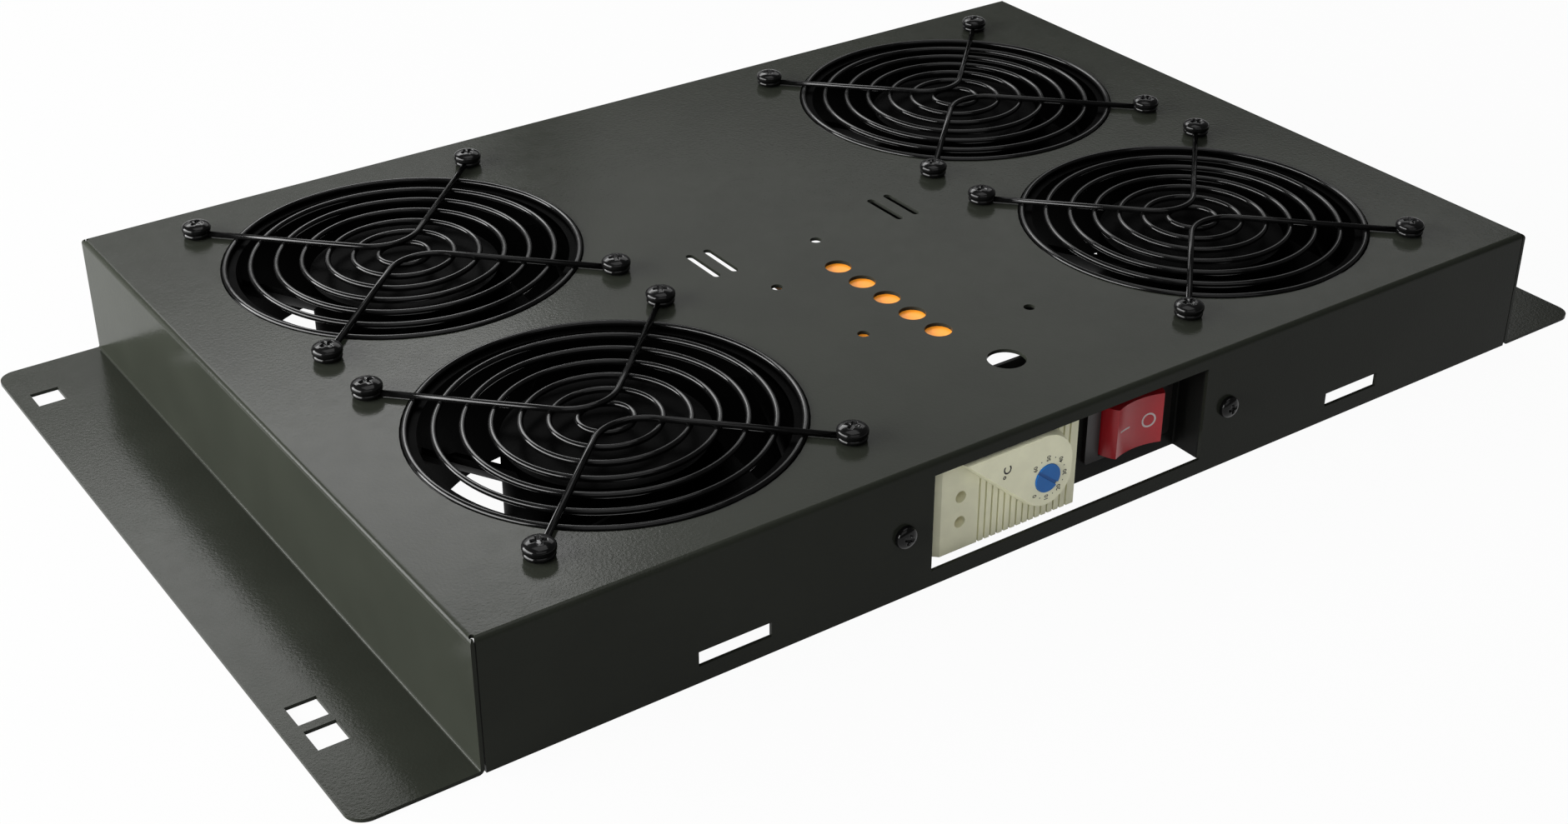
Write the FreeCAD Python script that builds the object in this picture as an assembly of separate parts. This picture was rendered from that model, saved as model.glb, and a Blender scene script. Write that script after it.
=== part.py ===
import FreeCAD
import Part
import math
import os

# Rack fan tray: a folded steel tray with four axial fans, wire finger guards,
# a thermostat and a rocker switch behind a window in the front skirt.
# Millimetres. Built with x to the right, y to the back from the outer face of
# the front skirt and z up from the underside of the flanges, then moved so
# that the origin is the bottom centre of the whole part.

V = FreeCAD.Vector
Z_AXIS = V(0, 0, 1)

# Folded tray
sheet = 1.2
bend_radius = 0.6
overall_width = 485.4
tray_width = 411.6
tray_depth = 281.8
tray_height = 43.7
flange_corner_radius = 6.0
seam_gap = 0.4
relief_radius = 0.8

# Rack holes in the flanges, square, from the outer face of the front skirt
rack_pitch = 465.1
rack_hole = 9.5
rack_hole_ys = (37.3, 50.0, 257.8)

# Fans
fan_size = 119.0
fan_depth = 38.0
fan_corner = 2.6
fan_flange = 4.0
fan_hole_pitch = 104.8
fan_screw_hole = 4.4
fan_spacing_x = 239.7
fan_front_y = 75.6
fan_spacing_y = 132.5
plate_hole_radius = 61.0
duct_radius = 56.0
duct_wall = 2.6
strut_count = 3
strut_width = 7.0
strut_thickness = 3.0
strut_first_angle = 30.0
motor_base_radius = 31.0
bearing_tube_radius = 6.0
bearing_tube_top = 31.0
shaft_radius = 2.5
shaft_clearance = 0.05

# Impeller, heights from the underside of the fan
hub_radius = 32.0
hub_wall = 2.2
hub_low = 6.0
hub_high = 34.5
shaft_low = 4.0
blade_count = 5
blade_tip_clearance = 1.0
blade_low = 11.5
blade_high = 31.5
blade_thickness = 2.0
blade_first_angle = 120.0
blade_run = 29.0
blade_camber = 2.4

# Stator inside the hub
stator_low = 9.0
stator_high = 27.0
stator_span = 50.0
stator_pole_width = 20.0

# Terminal block on the side of each fan
tag_block_length = 16.0
tag_block_proud = 3.0
tag_block_height = 9.0
tag_width = 2.8
tag_thickness = 0.8
tag_length = 7.0
tag_spacing = 7.0
tag_root = 1.5

# Finger guards
wire = 2.5
ring_count = 7
ring_pitch = 8.5
ring_rise = 0.9
ring_gap = 0.05
arm_bend_radius = 15.0
eye_sides = 8
eye_clearance = 0.2

# Guard screws and nuts
screw_radius = 2.0
guard_head_radius = 4.9
guard_head_height = 3.0
guard_head_rim = 0.9
guard_head_flat_radius = 2.6
guard_screw_length = 16.0
head_sides = 12
shank_sides = 8
knee_share = 0.68
nut_across_flats = 7.0
nut_height = 3.2

# Window and slots in the front skirt
window_width = 109.4
window_low = 5.3
window_high = 38.8
slot_length = 24.6
slot_height = 5.0
slot_low = 5.7
slot_centre_x = 124.6

# Openings in the top plate
small_hole = 4.0
small_hole_places = ((1.0, 136.5), (-30.0, 115.4), (-25.8, 73.4), (29.3, 57.0))
cable_hole = 12.5
cable_hole_place = (1.1, 34.9)
tie_slot_length = 19.2
tie_slot_width = 2.8
tie_slot_y = 142.4
tie_slot_xs = (-41.5, -34.4, 35.4, 42.6)

# Orange insert behind a plain row of round windows
accent_window = 9.0
accent_window_count = 5
accent_window_pitch = 13.5
accent_place = (-4.5, 89.0)
accent_plate_width = 46.0
accent_plate_length = 74.0
accent_plate_thickness = 2.0

# Control bracket: one folded strip behind the window
bracket_low = 4.3
bracket_top_gap = 0.5
bracket_window_clearance = 1.2
ear_length = 19.0
ear_screw_x = 65.2
ear_screw_z = 21.85
switch_plate_y = 13.3
pocket_back_y = 35.3
pocket_right_x = 9.5
bracket_screw_length = 9.0
bracket_head_radius = 3.7
bracket_head_height = 2.6
bracket_head_rim = 0.8
bracket_head_flat_radius = 2.0

# Thermostat on a short mounting rail
rail_width = 35.0
rail_depth = 7.5
rail_sheet = 1.0
rail_channel_width = 27.0
rail_screw_length = 6.0
thermostat_length = 60.0
thermostat_height = 33.0
thermostat_right_x = 4.4
thermostat_low = 5.7
thermostat_face_y = 4.0
thermostat_split_y = 19.0
thermostat_shell = 1.6
thermostat_end_slope = 7.0
rail_gap = 0.3
hook_length = 4.0
hook_reach = 2.0
hook_inset = 4.0
louvre_count = 15
louvre_pitch = 2.5
louvre_width = 0.7
louvre_depth = 1.2
louvre_last_x = 1.1
fin_height = 3.9
fin_bevel = 1.6
fin_round_radius = 9.6
fin_top_z = 37.2
fin_tip_x = -42.0
fin_shoulder_back = 1.2
fin_side_angle = 8.0
fin_low_angle = -118.0
fin_bulge_share = 0.80
fin_bulge_lift = 0.45
fin_top_flare = 0.5
fin_tip_flare = 2.0
dial_place = (-10.6, 22.15)
dial_radius = 4.75
dial_clearance = 0.1
dial_proud = 0.5
dial_depth = 3.0
dial_slot_width = 1.0
dial_slot_depth = 0.7
dial_slot_angle = -39.0
terminal_hole_radius = 2.0
terminal_hole_places = ((-41.2, 24.45), (-41.2, 15.6))
terminal_hole_depth = 6.0
terminal_wall = 2.0
terminal_screw_radius = 1.8
terminal_screw_height = 1.6
terminal_slot_width = 0.6
terminal_slot_depth = 0.6

# Rocker switch
switch_centre = (33.4, 22.1)
bezel_length = 36.0
bezel_height = 21.6
bezel_thickness = 1.8
bezel_corner_radius = 1.2
switch_body_length = 29.0
switch_body_height = 19.6
switch_body_depth = 15.0
cutout_clearance = 0.2
rocker_length = 19.2
rocker_height = 17.8
rocker_proud = 7.5
rocker_dish = 1.8
rocker_inner_depth = 3.5
rocker_clearance = 0.3
pivot_radius = 1.6
pivot_length = 0.7
pivot_clearance = 0.05
spade_width = 3.8
spade_thickness = 0.8
spade_length = 5.0
spade_spacing_x = 15.0
spade_spacing_z = 8.0

# Worked out from the values above
outer_bend = bend_radius + sheet
underside = tray_height - sheet
fan_low = underside - fan_depth
wall_inner_x = tray_width / 2 - sheet
skirt_half_length = wall_inner_x - seam_gap
guard_screw_seat = tray_height + wire
fan_places = {
    "front_left": (-fan_spacing_x / 2, fan_front_y),
    "front_right": (fan_spacing_x / 2, fan_front_y),
    "rear_left": (-fan_spacing_x / 2, fan_front_y + fan_spacing_y),
    "rear_right": (fan_spacing_x / 2, fan_front_y + fan_spacing_y),
}
corner_signs = ((-1, -1), (1, -1), (1, 1), (-1, 1))
origin_y = (tray_depth - bracket_head_height) / 2

os.makedirs("parts", exist_ok=True)


def box(low, high):
    return Part.makeBox(high[0] - low[0], high[1] - low[1], high[2] - low[2], V(*low))


def cylinder(radius, low, high, x, y):
    return Part.makeCylinder(radius, high - low, V(x, y, low), Z_AXIS)


def cylinder_along_y(radius, front, back, x, z):
    return Part.makeCylinder(radius, back - front, V(x, front, z), V(0, 1, 0))


def fuse_all(shapes):
    return shapes[0].multiFuse(shapes[1:]).removeSplitter()


def polygon_face(points):
    return Part.Face(Part.makePolygon([V(*p) for p in points] + [V(*points[0])]))


def prism(sides, inner_radius, low, high, x, y):
    """Regular prism whose flats lie at inner_radius from its axis."""
    outer = inner_radius / math.cos(math.pi / sides)
    points = []
    for k in range(sides):
        angle = 2 * math.pi * (k + 0.5) / sides
        points.append((x + outer * math.cos(angle), y + outer * math.sin(angle), low))
    return polygon_face(points).extrude(V(0, 0, high - low))


def straight_edge(start, end):
    """The edge between two points, or nothing where two bends meet."""
    if start.distanceToPoint(end) < 0.001:
        return []
    return [Part.LineSegment(start, end).toShape()]


def folded_section(points, thickness, radius, place):
    """Face of a folded sheet: a centre line of straight runs with round bends."""
    runs = []
    for (x0, y0), (x1, y1) in zip(points, points[1:]):
        length = math.hypot(x1 - x0, y1 - y0)
        runs.append(((x1 - x0) / length, (y1 - y0) / length))
    sides = {1: [], -1: []}
    for side in sides:
        half = side * thickness / 2
        pen = (points[0][0] - runs[0][1] * half, points[0][1] + runs[0][0] * half)
        for k in range(1, len(points) - 1):
            (ax, ay), (bx, by) = runs[k - 1], runs[k]
            turn = math.atan2(ax * by - ay * bx, ax * bx + ay * by)
            hand = 1 if turn > 0 else -1
            reach = radius * math.tan(abs(turn) / 2)
            cx, cy = points[k]
            start = (cx - ax * reach - ay * half, cy - ay * reach + ax * half)
            end = (cx + bx * reach - by * half, cy + by * reach + bx * half)
            centre = (cx - ax * reach - ay * radius * hand, cy - ay * reach + ax * radius * hand)
            out = (cx - centre[0], cy - centre[1])
            scale = (radius - half * hand) / math.hypot(*out)
            middle = (centre[0] + out[0] * scale, centre[1] + out[1] * scale)
            sides[side] += straight_edge(place(*pen), place(*start))
            sides[side].append(Part.Arc(place(*start), place(*middle), place(*end)).toShape())
            pen = end
        last = (points[-1][0] - runs[-1][1] * half, points[-1][1] + runs[-1][0] * half)
        sides[side] += straight_edge(place(*pen), place(*last))
    ends = []
    half = thickness / 2
    for run, point in ((runs[0], points[0]), (runs[-1], points[-1])):
        left = place(point[0] - run[1] * half, point[1] + run[0] * half)
        right = place(point[0] + run[1] * half, point[1] - run[0] * half)
        ends.append(Part.LineSegment(left, right).toShape())
    edges = Part.sortEdges(sides[1] + sides[-1] + ends)[0]
    return Part.Face(Part.Wire(edges))


def screw_hole(low, high, x, y):
    """Cutter for a fastener's hole: eight flats keep the many hidden holes light."""
    return prism(shank_sides, fan_screw_hole / 2, low, high, x, y)


def slot_prism(length, width, low, high, x, y):
    """Upright slot cutter with round ends, long in y."""
    reach = length / 2 - width / 2
    bar = box((x - width / 2, y - reach, low), (x + width / 2, y + reach, high))
    ends = [cylinder(width / 2, low, high, x, y + s * reach) for s in (-1, 1)]
    return bar.multiFuse(ends)


def fan_screw_places():
    half = fan_hole_pitch / 2
    return [(x + sx * half, y + sy * half) for x, y in fan_places.values() for sx, sy in corner_signs]


def round_envelope():
    """Block that rounds the tray along its front and rear top edges."""
    r = outer_bend
    h = tray_height
    half = overall_width
    corner = r * (1 - math.sqrt(0.5))
    edges = [
        Part.LineSegment(V(-half, 0, 0), V(-half, 0, h - r)),
        Part.Arc(V(-half, 0, h - r), V(-half, corner, h - corner), V(-half, r, h)),
        Part.LineSegment(V(-half, r, h), V(-half, tray_depth - r, h)),
        Part.Arc(V(-half, tray_depth - r, h), V(-half, tray_depth - corner, h - corner),
                 V(-half, tray_depth, h - r)),
        Part.LineSegment(V(-half, tray_depth, h - r), V(-half, tray_depth, 0)),
        Part.LineSegment(V(-half, tray_depth, 0), V(-half, 0, 0)),
    ]
    face = Part.Face(Part.Wire([e.toShape() for e in edges]))
    return face.extrude(V(2 * half, 0, 0))


def flange_plan():
    """Block that rounds the outer corners of the flanges."""
    plan = box((-overall_width / 2, 0, 0), (overall_width / 2, tray_depth, tray_height))
    corners = [e for e in plan.Edges if abs(e.tangentAt(e.FirstParameter).z) > 0.9]
    return plan.makeFillet(flange_corner_radius, corners)


def skirt(hand):
    """Front (hand 1) or rear (hand -1) skirt with its bend to the top plate."""
    half = sheet / 2
    edge = 0 if hand == 1 else tray_depth
    path = [(edge + hand * outer_bend, tray_height - half), (edge + hand * half, tray_height - half),
            (edge + hand * half, 0)]

    def place(y, z):
        return V(-skirt_half_length, y, z)

    face = folded_section(path, sheet, bend_radius + half, place)
    return face.extrude(V(2 * skirt_half_length, 0, 0))


def tray_hat():
    """Top plate, side walls and flanges as one folded section."""
    half = sheet / 2
    wall = tray_width / 2 - half
    path = [(-overall_width / 2, half), (-wall, half), (-wall, tray_height - half),
            (wall, tray_height - half), (wall, half), (overall_width / 2, half)]

    def place(x, z):
        return V(x, 0, z)

    face = folded_section(path, sheet, bend_radius + half, place)
    hat = face.extrude(V(0, tray_depth, 0))
    band = tray_height - outer_bend
    for low_y, high_y in ((-1, outer_bend), (tray_depth - outer_bend, tray_depth + 1)):
        hat = hat.cut(box((-skirt_half_length - seam_gap, low_y, band),
                          (skirt_half_length + seam_gap, high_y, tray_height + 1)))
    return hat.common(round_envelope()).common(flange_plan())


def top_cutters():
    through = (underside - 1, tray_height + 1)
    cutters = [cylinder(plate_hole_radius, *through, x, y) for x, y in fan_places.values()]
    cutters += [screw_hole(*through, x, y) for x, y in fan_screw_places()]
    cutters += [cylinder(small_hole / 2, *through, x, y) for x, y in small_hole_places]
    cutters.append(cylinder(cable_hole / 2, *through, *cable_hole_place))
    cutters += [slot_prism(tie_slot_length, tie_slot_width, *through, x, tie_slot_y) for x in tie_slot_xs]
    cutters += [cylinder(accent_window / 2, *through, x, y) for x, y in accent_window_places()]
    for x in (-1, 1):
        for y in (outer_bend, tray_depth - outer_bend):
            cutters.append(cylinder(relief_radius, tray_height - outer_bend, tray_height + 1,
                                    x * (wall_inner_x - seam_gap / 2), y))
    return cutters


def accent_window_places():
    first = accent_place[1] - accent_window_pitch * (accent_window_count - 1) / 2
    return [(accent_place[0], first + k * accent_window_pitch) for k in range(accent_window_count)]


def skirt_cutters():
    cutters = [box((-window_width / 2, -1, window_low), (window_width / 2, sheet + 1, window_high))]
    for side in (-1, 1):
        x = side * slot_centre_x
        cutters.append(box((x - slot_length / 2, -1, slot_low),
                           (x + slot_length / 2, sheet + 1, slot_low + slot_height)))
        cutters.append(ear_screw_hole(side))
    return cutters


def ear_screw_hole(side):
    """Cutter for a bracket screw's hole, through the skirt and the ear behind it."""
    return facing_front(screw_hole(-2 * sheet - 1, 1, 0, 0), side * ear_screw_x, 0, ear_screw_z)


def rack_cutters():
    cutters = []
    for side in (-1, 1):
        for y in rack_hole_ys:
            x = side * rack_pitch / 2
            cutters.append(box((x - rack_hole / 2, y - rack_hole / 2, -1),
                               (x + rack_hole / 2, y + rack_hole / 2, sheet + 1)))
    return cutters


def tray_body():
    tray = fuse_all([tray_hat(), skirt(1), skirt(-1)])
    return tray.cut(top_cutters() + skirt_cutters() + rack_cutters())


def accent_plate():
    x, y = accent_place
    return box((x - accent_plate_width / 2, y - accent_plate_length / 2, underside - accent_plate_thickness),
               (x + accent_plate_width / 2, y + accent_plate_length / 2, underside))


def fan_frame(x, y):
    """Cast frame: two square flanges with the round duct between them."""
    half = fan_size / 2
    block = box((x - half, y - half, fan_low), (x + half, y + half, underside))
    upright = [e for e in block.Edges if abs(e.tangentAt(e.FirstParameter).z) > 0.9]
    block = block.makeChamfer(fan_corner, upright)
    waist_low = fan_low + fan_flange
    waist_high = underside - fan_flange
    waist = box((x - half - 1, y - half - 1, waist_low), (x + half + 1, y + half + 1, waist_high))
    waist = waist.cut(cylinder(duct_radius + duct_wall, waist_low, waist_high, x, y))
    frame = block.cut(waist).cut(cylinder(duct_radius, fan_low - 1, underside + 1, x, y))
    reach = fan_hole_pitch / 2
    for sx, sy in corner_signs:
        frame = frame.cut(screw_hole(fan_low - 1, underside + 1, x + sx * reach, y + sy * reach))
    return frame


def fan_spider(x, y):
    """Motor mount: base disc, bearing tube and three struts that end on the duct's bore."""
    strut_top = fan_low + strut_thickness
    pieces = [cylinder(motor_base_radius, fan_low, strut_top, x, y),
              cylinder(bearing_tube_radius, fan_low, fan_low + bearing_tube_top, x, y)]
    for k in range(strut_count):
        strut = box((x, y - strut_width / 2, fan_low), (x + fan_size / 2, y + strut_width / 2, strut_top))
        strut.rotate(V(x, y, 0), Z_AXIS, strut_first_angle + k * 360 / strut_count)
        pieces.append(strut.common(cylinder(duct_radius, fan_low, strut_top, x, y)))
    return fuse_all(pieces).cut(cylinder(shaft_radius + shaft_clearance, fan_low + strut_thickness / 2,
                                         underside, x, y))


def fan_stator(x, y):
    """Four-pole core, held on the bearing tube."""
    core_low = fan_low + stator_low
    core_high = fan_low + stator_high
    half = stator_span / 2
    pole = stator_pole_width / 2
    core = fuse_all([
        box((x - half, y - pole, core_low), (x + half, y + pole, core_high)),
        box((x - pole, y - half, core_low), (x + pole, y + half, core_high)),
    ])
    return core.cut(cylinder(bearing_tube_radius, core_low - 1, core_high + 1, x, y))


def fan_blade(x, y, angle):
    """One cambered blade: a curved section drawn along the line at this angle."""
    rise = blade_high - blade_low
    tip = duct_radius - blade_tip_clearance
    chord = math.hypot(blade_run, rise)
    lean = (rise / chord, -blade_run / chord)
    edges = []
    for side, first in ((1, 0), (-1, 1)):
        half = side * blade_thickness / 2
        ends = []
        for share in (0, 0.5, 1):
            sag = blade_camber if share == 0.5 else 0
            t = share * blade_run + lean[0] * (sag + half)
            z = fan_low + blade_low + share * rise + lean[1] * (sag + half)
            ends.append(V(0, t, z))
        edges.append((Part.Arc(*ends).toShape(), ends))
    caps = [Part.LineSegment(edges[0][1][k], edges[1][1][k]).toShape() for k in (0, 2)]
    face = Part.Face(Part.Wire(Part.sortEdges([edges[0][0], edges[1][0]] + caps)[0]))
    blade = face.extrude(V(tip, 0, 0))
    ring = cylinder(tip, fan_low, underside, 0, 0).cut(cylinder(hub_radius - hub_wall / 2, 0, tray_height, 0, 0))
    blade = blade.common(ring)
    blade.rotate(V(0, 0, 0), Z_AXIS, angle)
    blade.translate(V(x, y, 0))
    return blade


def fan_impeller(x, y):
    """Hub cup with its shaft and helical blades."""
    low = fan_low + hub_low
    high = fan_low + hub_high
    shell = cylinder(hub_radius, low, high, x, y).cut(
        cylinder(hub_radius - hub_wall, low - 1, high - hub_wall, x, y))
    pieces = [shell, cylinder(shaft_radius, fan_low + shaft_low, high - hub_wall / 2, x, y)]
    for k in range(blade_count):
        pieces.append(fan_blade(x, y, blade_first_angle + k * 360 / blade_count))
    return fuse_all(pieces)


def fan_terminal_block(x, y):
    """Moulded block with two push-on tags, against the inward side of a fan's duct."""
    inward = -1 if x > 0 else 1
    seat = duct_radius + duct_wall
    face = x + inward * (fan_size / 2 + tag_block_proud)
    middle = fan_low + fan_depth / 2
    along = tag_block_length / 2
    block = box((min(face, x), y - along, middle - tag_block_height / 2),
                (max(face, x), y + along, middle + tag_block_height / 2))
    block = block.cut(cylinder(seat, 0, tray_height, x, y))
    root = face - inward * tag_root
    tip = face + inward * tag_length
    tags = []
    for side in (-1, 1):
        tag_y = y + side * tag_spacing / 2
        tags.append(box((min(root, tip), tag_y - tag_width / 2, middle - tag_thickness / 2),
                        (max(root, tip), tag_y + tag_width / 2, middle + tag_thickness / 2)))
    return fuse_all([block] + tags)


def guard_ring(radius, x, y):
    """Closed ring, pressed into the arms and clear of the fan's flange below."""
    top = tray_height + ring_rise
    bottom = underside + ring_gap
    section = [(radius - wire / 2, 0, top), (radius + wire / 2, 0, top), (radius, 0, bottom)]
    ring = polygon_face(section).revolve(V(0, 0, 0), Z_AXIS, 360)
    ring.translate(V(x, y, 0))
    return ring


def finger_guard(x, y):
    """Seven rings welded under two bent arms, whose ends loop round the screws."""
    low = tray_height
    high = low + wire
    reach = fan_hole_pitch / 2
    eye_inner = screw_radius + eye_clearance
    pieces = []
    for hand in (-1, 1):
        path = [(x - reach, y + hand * reach), (x, y), (x + reach, y + hand * reach)]

        def place(u, v):
            return V(u, v, low)

        pieces.append(folded_section(path, wire, arm_bend_radius, place).extrude(V(0, 0, wire)))
    corners = [(x + sx * reach, y + sy * reach) for sx, sy in corner_signs]
    pieces += [prism(eye_sides, eye_inner + wire, low, high, cx, cy) for cx, cy in corners]
    arms = fuse_all(pieces).cut([prism(eye_sides, eye_inner, low - 1, high + 1, cx, cy) for cx, cy in corners])
    rings = [guard_ring((k + 1) * ring_pitch, x, y) for k in range(ring_count)]
    return fuse_all([arms] + rings)


def polygon_wire(sides, radius, z):
    """Regular polygon inside a circle of this radius, level, about the origin."""
    points = []
    for k in range(sides):
        angle = 2 * math.pi * (k + 0.5) / sides
        points.append(V(radius * math.cos(angle), radius * math.sin(angle), z))
    return Part.makePolygon(points + [points[0]])


def pan_screw(head_radius, head_height, rim, flat_radius, length):
    """Faceted pan-head screw, with its seat at z = 0 and its shank below."""
    knee_radius = flat_radius + (head_radius - flat_radius) * knee_share
    knee_height = rim + (head_height - rim) * knee_share
    rings = [(head_radius, 0), (head_radius, rim), (knee_radius, knee_height), (flat_radius, head_height)]
    head = Part.makeLoft([polygon_wire(head_sides, r, z) for r, z in rings], True, True)
    shank = prism(shank_sides, screw_radius * math.cos(math.pi / shank_sides), -length, 0, 0, 0)
    return fuse_all([head, shank])


def guard_screw(x, y):
    length = guard_screw_length - guard_head_height
    screw = pan_screw(guard_head_radius, guard_head_height, guard_head_rim, guard_head_flat_radius, length)
    screw.translate(V(x, y, guard_screw_seat))
    return screw


def nut(low, x, y):
    body = prism(6, nut_across_flats / 2, low, low + nut_height, x, y)
    return body.cut(prism(shank_sides, screw_radius, low - 1, low + nut_height + 1, x, y))


def bracket_top():
    return underside - bracket_top_gap


def bracket_side_x():
    """Inner face of the bracket's side walls, just outside the window."""
    return window_width / 2 + bracket_window_clearance


def control_bracket():
    """Folded strip: ear, pocket round the thermostat, switch plate, ear."""
    half = sheet / 2
    ear_y = sheet + half
    side = bracket_side_x() + half
    back = pocket_back_y + half
    step = switch_plate_y + half
    path = [(-side - ear_length, ear_y), (-side, ear_y), (-side, back), (pocket_right_x + half, back),
            (pocket_right_x + half, step), (side, step), (side, ear_y), (side + ear_length, ear_y)]

    def place(x, y):
        return V(x, y, bracket_low)

    strip = folded_section(path, sheet, bend_radius + half, place)
    strip = strip.extrude(V(0, 0, bracket_top() - bracket_low))
    cutters = [ear_screw_hole(side) for side in (-1, 1)]
    cx, cz = switch_centre
    half_x = switch_body_length / 2 + cutout_clearance
    half_z = switch_body_height / 2 + cutout_clearance
    cutters.append(box((cx - half_x, switch_plate_y - 1, cz - half_z),
                       (cx + half_x, switch_plate_y + sheet + 1, cz + half_z)))
    cutters.append(rail_screw_hole())
    return strip.cut(cutters)


def facing_front(shape, x, y, z):
    """Turns a shape made upright so that it faces the front, and places it."""
    shape.rotate(V(0, 0, 0), V(1, 0, 0), 90)
    shape.translate(V(x, y, z))
    return shape


def bracket_head_screw(length):
    return pan_screw(bracket_head_radius, bracket_head_height, bracket_head_rim, bracket_head_flat_radius, length)


def bracket_screw(side):
    return facing_front(bracket_head_screw(bracket_screw_length), side * ear_screw_x, 0, ear_screw_z)


def bracket_nut(side):
    return facing_front(nut(-nut_height, 0, 0), side * ear_screw_x, 2 * sheet, ear_screw_z)


def thermostat_middle_x():
    return thermostat_right_x - thermostat_length / 2


def thermostat_middle_z():
    return thermostat_low + thermostat_height / 2


def rail_screw_hole():
    """Cutter for the rail's screw, through the rail and the pocket's back."""
    hole = screw_hole(-sheet - 1, rail_sheet + 1, 0, 0)
    return facing_front(hole, thermostat_middle_x(), pocket_back_y, thermostat_middle_z())


def mounting_rail():
    """Short top-hat rail, upright, screwed to the back of the pocket."""
    x = thermostat_middle_x()
    half = rail_sheet / 2
    channel = rail_channel_width / 2
    front = pocket_back_y - rail_depth
    path = [(x - rail_width / 2, front + half), (x - channel, front + half),
            (x - channel, pocket_back_y - half), (x + channel, pocket_back_y - half),
            (x + channel, front + half), (x + rail_width / 2, front + half)]

    def place(u, v):
        return V(u, v, thermostat_low)

    rail = folded_section(path, rail_sheet, rail_sheet, place).extrude(V(0, 0, thermostat_height))
    return rail.cut(rail_screw_hole())


def rail_screw():
    screw = bracket_head_screw(rail_screw_length)
    return facing_front(screw, thermostat_middle_x(), pocket_back_y - rail_sheet, thermostat_middle_z())


def rail_nut():
    back = pocket_back_y + sheet
    return facing_front(nut(-nut_height, 0, 0), thermostat_middle_x(), back, thermostat_middle_z())


def fin_outline(y, grow):
    """Teardrop outline of the raised field round the dial."""
    cx, cz = dial_place
    radius = fin_round_radius + grow
    top = fin_top_z + grow * fin_top_flare
    tip_x = fin_tip_x - grow * fin_tip_flare
    shoulder_x = cx - fin_shoulder_back
    tip = V(tip_x, y, top)
    shoulder = V(shoulder_x, y, top)
    side_angle = math.radians(fin_side_angle)
    side = V(cx + radius * math.cos(side_angle), y, cz + radius * math.sin(side_angle))
    bulge_reach = radius * fin_bulge_share
    bulge = V(cx + bulge_reach, y, cz + bulge_reach + (top - cz - radius) * fin_bulge_lift)
    low_angle = math.radians(fin_low_angle)
    low = V(cx + radius * math.cos(low_angle), y, cz + radius * math.sin(low_angle))
    mid_angle = (side_angle + low_angle) / 2
    middle = V(cx + radius * math.cos(mid_angle), y, cz + radius * math.sin(mid_angle))
    edges = [Part.LineSegment(tip, shoulder), Part.Arc(shoulder, bulge, side),
             Part.Arc(side, middle, low), Part.LineSegment(low, tip)]
    return Part.Wire([e.toShape() for e in edges])


def first_terminal_x():
    """Right-hand side of the terminal holes, where the solid terminal end stops."""
    return max(x for x, z in terminal_hole_places) + terminal_hole_radius


def thermostat_front():
    """Front shell: sloped wire end, louvres, terminal holes and the raised field."""
    left = thermostat_right_x - thermostat_length
    right = thermostat_right_x
    low = thermostat_low
    high = low + thermostat_height
    face = thermostat_face_y
    split = thermostat_split_y
    slope = thermostat_end_slope
    body = polygon_face([(left, split, low), (left, face + slope, low), (left + slope, face, low),
                         (right, face, low), (right, split, low)]).extrude(V(0, 0, thermostat_height))
    wall = thermostat_shell
    hollow = box((first_terminal_x() + terminal_wall, face + 2 * wall, low + wall),
                 (right - wall, split + 1, high - wall))
    body = body.cut(hollow)
    first = louvre_last_x - louvre_pitch * (louvre_count - 1)
    grooves = []
    for k in range(louvre_count):
        x = first + k * louvre_pitch
        grooves.append(box((x - louvre_width / 2, face - 1, low - 1),
                           (x + louvre_width / 2, face + louvre_depth, high + 1)))
    body = body.cut(grooves)
    fin = Part.makeLoft([fin_outline(face + louvre_depth, fin_bevel), fin_outline(face - fin_height, 0)], True, True)
    body = fuse_all([body, fin])
    cutters = [cylinder_along_y(dial_radius + dial_clearance, face - fin_height - 1,
                                face - fin_height + dial_depth, *dial_place)]
    for x, z in terminal_hole_places:
        cutters.append(cylinder_along_y(terminal_hole_radius, face - 1, face + terminal_hole_depth, x, z))
    return body.cut(cutters)


def thermostat_base():
    """Rear shell with the hooks that grip the rail."""
    left = thermostat_right_x - thermostat_length
    low = thermostat_low
    high = low + thermostat_height
    rail_front = pocket_back_y - rail_depth
    back = rail_front - rail_gap
    body = box((left, thermostat_split_y, low), (thermostat_right_x, back, high))
    middle = thermostat_middle_x()
    pieces = [body]
    for side in (-1, 1):
        outer = middle + side * (rail_width / 2 + rail_gap)
        hook_back = rail_front + rail_sheet + rail_gap + hook_length / 2
        post = box((min(outer, outer + side * hook_reach), back, low + hook_inset),
                   (max(outer, outer + side * hook_reach), hook_back, high - hook_inset))
        lip_front = rail_front + rail_sheet + rail_gap
        lip = box((min(outer - side * hook_reach, outer), lip_front, low + hook_inset),
                  (max(outer - side * hook_reach, outer), hook_back, high - hook_inset))
        pieces += [post, lip]
    return fuse_all(pieces)


def thermostat_dial():
    x, z = dial_place
    front = thermostat_face_y - fin_height - dial_proud
    back = thermostat_face_y - fin_height + dial_depth
    knob = cylinder_along_y(dial_radius, front, back, x, z)
    slot = box((x - dial_radius - 1, front - 1, z - dial_slot_width / 2),
               (x + dial_radius + 1, front + dial_slot_depth, z + dial_slot_width / 2))
    slot.rotate(V(x, 0, z), V(0, -1, 0), dial_slot_angle)
    return knob.cut(slot)


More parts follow.
